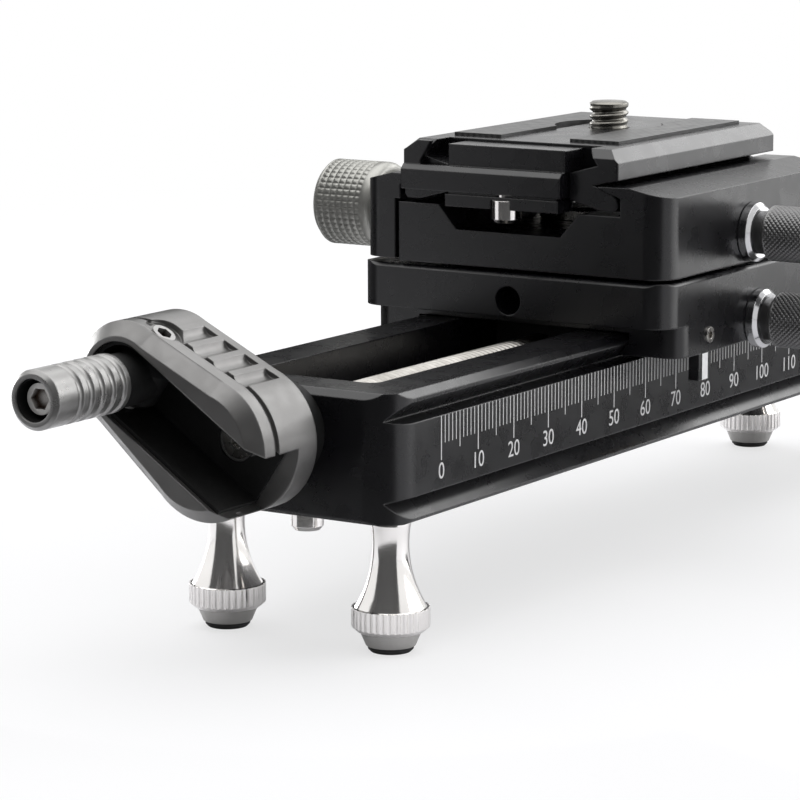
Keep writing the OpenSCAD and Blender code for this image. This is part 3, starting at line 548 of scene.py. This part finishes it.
def scale_numbers():
    """The numbers at the tens, from Blender's own font."""
    digit_size, digit_middle_z, thickness = 3.4, 6.2, 0.01
    side = low("rail_base", Y) - INK_PROUD
    texts = []
    for mm in range(0, SCALE_LENGTH + 1, 10):
        curve = bpy.data.curves.new("digits", "FONT")
        curve.body = str(mm)
        curve.size = digit_size * MM
        curve.align_x = "CENTER"
        curve.align_y = "CENTER"
        curve.extrude = thickness * MM
        curve.resolution_u = 4
        text = bpy.data.objects.new("digits", curve)
        bpy.context.scene.collection.objects.link(text)
        at = Vector((SCALE_START + mm, side, digit_middle_z)) * MM
        text.matrix_world = Matrix.Translation(at) @ Matrix.Rotation(math.radians(90), 4, "X")
        texts.append(text)
    bpy.context.view_layer.update()
    evaluated = bpy.context.evaluated_depsgraph_get()
    verts, faces = [], []
    for text in texts:
        mesh = bpy.data.meshes.new_from_object(text.evaluated_get(evaluated))
        n = len(verts)
        verts += [tuple(text.matrix_world @ v.co) for v in mesh.vertices]
        faces += [tuple(n + i for i in polygon.vertices) for polygon in mesh.polygons]
        bpy.data.meshes.remove(mesh)
    for text in texts:
        bpy.data.objects.remove(text)
    add_piece("scale_numbers", verts, faces, "ink", "rail", smooth=False)


def index_line():
    """The white line on the carriage's pointer, just proud of it."""
    proud, sunk, length = 0.03, 0.1, 4.1
    front, bottom = low("index_pointer", Y), low("index_pointer", Z) + 0.05
    left, right = low("index_pointer", X) + 1.1, high("index_pointer", X) - 0.5
    verts, faces = [], []
    flat_box((left, front - proud, bottom), (right, front + sunk, bottom + length), verts, faces)
    add_piece("index_line", verts, faces, "index", "carriage", smooth=False)


# ---------------------------------------------------------------- stage


def white_when_seen(tree, lit, seen):
    """Mixes a lit shader with a plain glow that only camera, glossy and transmission rays meet."""
    path = tree.nodes.new("ShaderNodeLightPath")
    camera_or_glossy = tree.nodes.new("ShaderNodeMath")
    any_of_three = tree.nodes.new("ShaderNodeMath")
    camera_or_glossy.operation = any_of_three.operation = "MAXIMUM"
    tree.links.new(path.outputs["Is Camera Ray"], camera_or_glossy.inputs[0])
    tree.links.new(path.outputs["Is Glossy Ray"], camera_or_glossy.inputs[1])
    tree.links.new(camera_or_glossy.outputs[0], any_of_three.inputs[0])
    tree.links.new(path.outputs["Is Transmission Ray"], any_of_three.inputs[1])
    mix = tree.nodes.new("ShaderNodeMixShader")
    tree.links.new(any_of_three.outputs[0], mix.inputs["Fac"])
    tree.links.new(lit, mix.inputs[1])
    tree.links.new(seen, mix.inputs[2])
    return mix.outputs[0]


def world():
    """A soft white surround, plain white where it is seen or mirrored."""
    studio = bpy.data.worlds.new("studio")
    bpy.context.scene.world = studio
    studio.use_nodes = True
    tree = studio.node_tree
    tree.nodes.clear()
    shaders = []
    for strength in (0.45, 1.0):
        shader = tree.nodes.new("ShaderNodeBackground")
        shader.inputs["Color"].default_value = (*WHITE, 1)
        shader.inputs["Strength"].default_value = strength
        shaders.append(shader.outputs[0])
    out = tree.nodes.new("ShaderNodeOutputWorld")
    tree.links.new(white_when_seen(tree, *shaders), out.inputs["Surface"])


def stage_mesh(name, verts, faces, material):
    mesh = bpy.data.meshes.new(name)
    mesh.from_pydata(verts, [], faces)
    mesh.materials.append(material)
    obj = bpy.data.objects.new(name, mesh)
    bpy.context.scene.collection.objects.link(obj)
    return obj


def stage_material(name, color, **values):
    mat = bpy.data.materials.new(name)
    mat.use_nodes = True
    bsdf = mat.node_tree.nodes["Principled BSDF"]
    bsdf.inputs["Base Color"].default_value = (*color, 1)
    for key, value in values.items():
        bsdf.inputs[key.replace("_", " ")].default_value = value
    return mat


def floor():
    """A pale floor that keeps the object's shadow near it and turns white for the camera far off."""
    reach = 3
    fade_from, fade_to, white_near, white_far = 0.12, 0.5, 0.66, 1.0
    mat = stage_material("floor_white", (0.82, 0.82, 0.845), Roughness=0.5, Specular_IOR_Level=0.1)
    tree = mat.node_tree
    glow = tree.nodes.new("ShaderNodeEmission")
    glow.inputs["Color"].default_value = (*WHITE, 1)
    path = tree.nodes.new("ShaderNodeLightPath")
    coords = tree.nodes.new("ShaderNodeTexCoord")
    distance = tree.nodes.new("ShaderNodeVectorMath")
    distance.operation = "LENGTH"
    tree.links.new(coords.outputs["Object"], distance.inputs[0])
    fade = tree.nodes.new("ShaderNodeMapRange")
    fade.interpolation_type = "SMOOTHSTEP"
    fade.inputs["From Min"].default_value = fade_from
    fade.inputs["From Max"].default_value = fade_to
    fade.inputs["To Min"].default_value = white_near
    fade.inputs["To Max"].default_value = white_far
    tree.links.new(distance.outputs["Value"], fade.inputs["Value"])
    share = tree.nodes.new("ShaderNodeMath")
    share.operation = "MULTIPLY"
    tree.links.new(path.outputs["Is Camera Ray"], share.inputs[0])
    tree.links.new(fade.outputs["Result"], share.inputs[1])
    mix = tree.nodes.new("ShaderNodeMixShader")
    tree.links.new(share.outputs[0], mix.inputs["Fac"])
    tree.links.new(tree.nodes["Principled BSDF"].outputs[0], mix.inputs[1])
    tree.links.new(glow.outputs[0], mix.inputs[2])
    tree.links.new(mix.outputs[0], tree.nodes["Material Output"].inputs["Surface"])
    plan = ((-reach, -reach), (reach, -reach), (reach, reach), (-reach, reach))
    stage_mesh("floor", [(x, y, FLOOR_Z) for x, y in plan], [(0, 1, 2, 3)], mat)


def area(name, at, aim, size, power):
    """A softbox."""
    data = bpy.data.lights.new(name, "AREA")
    data.shape = "RECTANGLE"
    data.size, data.size_y = size
    data.energy = power
    data.color = WHITE
    obj = bpy.data.objects.new(name, data)
    bpy.context.scene.collection.objects.link(obj)
    obj.location = at
    obj.rotation_mode = "QUATERNION"
    obj.rotation_quaternion = (Vector(aim) - Vector(at)).to_track_quat("-Z", "Y")
    return obj


CARD_Z = FLOOR_Z + 0.0004
PALE = 0.8


def card(name, verts, value, glow=0.0, faces=((0, 1, 2, 3),)):
    """A card that only reflections meet, out of the camera's view: dark, or with a soft glow."""
    mat = stage_material(name, (value,) * 3, Roughness=1.0, Specular_IOR_Level=0.0,
                         Emission_Color=(*WHITE, 1), Emission_Strength=glow)
    obj = stage_mesh(name, verts, faces, mat)
    obj.visible_camera = False
    obj.visible_shadow = False
    obj.visible_diffuse = False


def floor_card(name, x_span, y_span, value, glow=0.0):
    """A rectangular card that lies on the floor."""
    (x0, x1), (y0, y1) = x_span, y_span
    card(name, [(x0, y0, CARD_Z), (x1, y0, CARD_Z), (x1, y1, CARD_Z), (x0, y1, CARD_Z)], value, glow)


def upright_card(name, start, end, z_span, value, glow=0.0):
    """A card that stands on a line between two points of the floor plan."""
    z0, z1 = z_span
    card(name, [(*start, z0), (*end, z0), (*end, z1), (*start, z1)], value, glow)


def front_flag():
    """A dark corner around the rail's front: a fan on the floor and a curved wall behind it."""
    centre_x, inner, outer, wall_top = -0.07, 0.075, 0.34, 0.42
    start_degrees, sweep_degrees, parts = 143, 104, 14
    verts, faces = [], []
    for radius, z in ((inner, CARD_Z), (outer, CARD_Z), (outer, wall_top)):
        for i in range(parts + 1):
            a = math.radians(start_degrees + sweep_degrees * i / parts)
            verts.append((centre_x + radius * math.cos(a), radius * math.sin(a), z))
    for row in (0, parts + 1):
        for i in range(row, row + parts):
            faces.append((i, i + 1, i + parts + 2, i + parts + 1))
    card("front_flag", verts, 0.07, faces=faces)


def side_flag():
    """A dark strip on the floor along the scale side, for the lower half of that side."""
    corners = ((0.0, -0.15), (0.45, -0.16), (0.45, -0.055), (0.0, -0.055))
    card("side_flag", [(x, y, CARD_Z) for x, y in corners], 0.02)


def cards():
    """What the polished and black faces mirror."""
    front_flag()
    side_flag()
    # keeps the rail's top face dark
    upright_card("far_flag", (-0.06, 0.06), (0.12, 0.06), (0.0, 0.055), 0.01)
    # lights the scale side's faces, from beyond the dark strip
    floor_card("bounce", (0.05, 0.9), (-0.6, -0.165), PALE, glow=1.5)
    # lights the crank's rounded end and the scale side's upper faces
    upright_card("end_bounce", (0.2, -0.33), (0.42, -0.19), (0.07, 0.2), PALE, glow=2.0)
    # lights the rim of the crank and the big knob from the left
    floor_card("left_bounce", (-0.08, 0.25), (0.12, 0.45), PALE, glow=1.5)


def lights():
    """Five softboxes. The front one only fills in, and isn't mirrored."""
    area("top_softbox", at=(0.1, 0.15, 0.9), aim=(0, 0, 0), size=(1.3, 1.3), power=9.0)
    area("side_softbox", at=(0.55, -0.9, 0.45), aim=(0.02, 0, 0.02), size=(0.7, 0.5), power=3.5)
    area("back_softbox", at=(0.9, -0.2, 0.55), aim=(0, 0, 0.02), size=(0.6, 0.4), power=2.4)
    area("left_softbox", at=(0.4, 0.95, 0.12), aim=(-0.08, 0, 0.02), size=(0.5, 0.4), power=4.0)
    fill = area("front_softbox", at=(-0.75, -0.55, 0.6), aim=(-0.08, 0, 0.02), size=(0.5, 0.5), power=0.8)
    fill.visible_glossy = False


def camera():
    """The photograph's viewpoint: its place, and where it looks from there."""
    at = (-0.4870, -0.2762, 0.1022)
    yaw, pitch, roll = (math.radians(degrees) for degrees in (32.84, 10.05, -0.15))
    data = bpy.data.cameras.new("camera")
    data.sensor_width = 36.0
    data.lens = 155.8
    data.clip_start, data.clip_end = 0.02, 20.0
    obj = bpy.data.objects.new("camera", data)
    bpy.context.scene.collection.objects.link(obj)
    ahead = Vector((math.cos(yaw) * math.cos(pitch), math.sin(yaw) * math.cos(pitch), -math.sin(pitch)))
    level = Vector((math.sin(yaw), -math.cos(yaw), 0))
    upright = level.cross(ahead)
    right = level * math.cos(roll) + upright * math.sin(roll)
    up = upright * math.cos(roll) - level * math.sin(roll)
    obj.matrix_world = Matrix.Translation(at) @ Matrix((right, up, -ahead)).transposed().to_4x4()
    bpy.context.scene.camera = obj


camera()
dress_nodes()
lead_screw()
camera_screw()
clamp_knob()
handle_lining()
lock_knob("carriage_lock_knurled", "carriage_lock", "carriage_lock_knob")
lock_knob("pan_lock_knurled", "pan_lock", "pan_lock_knob")
scale_ticks()
scale_numbers()
index_line()
world()
floor()
lights()
cards()
bpy.context.scene.view_settings.view_transform = "Standard"
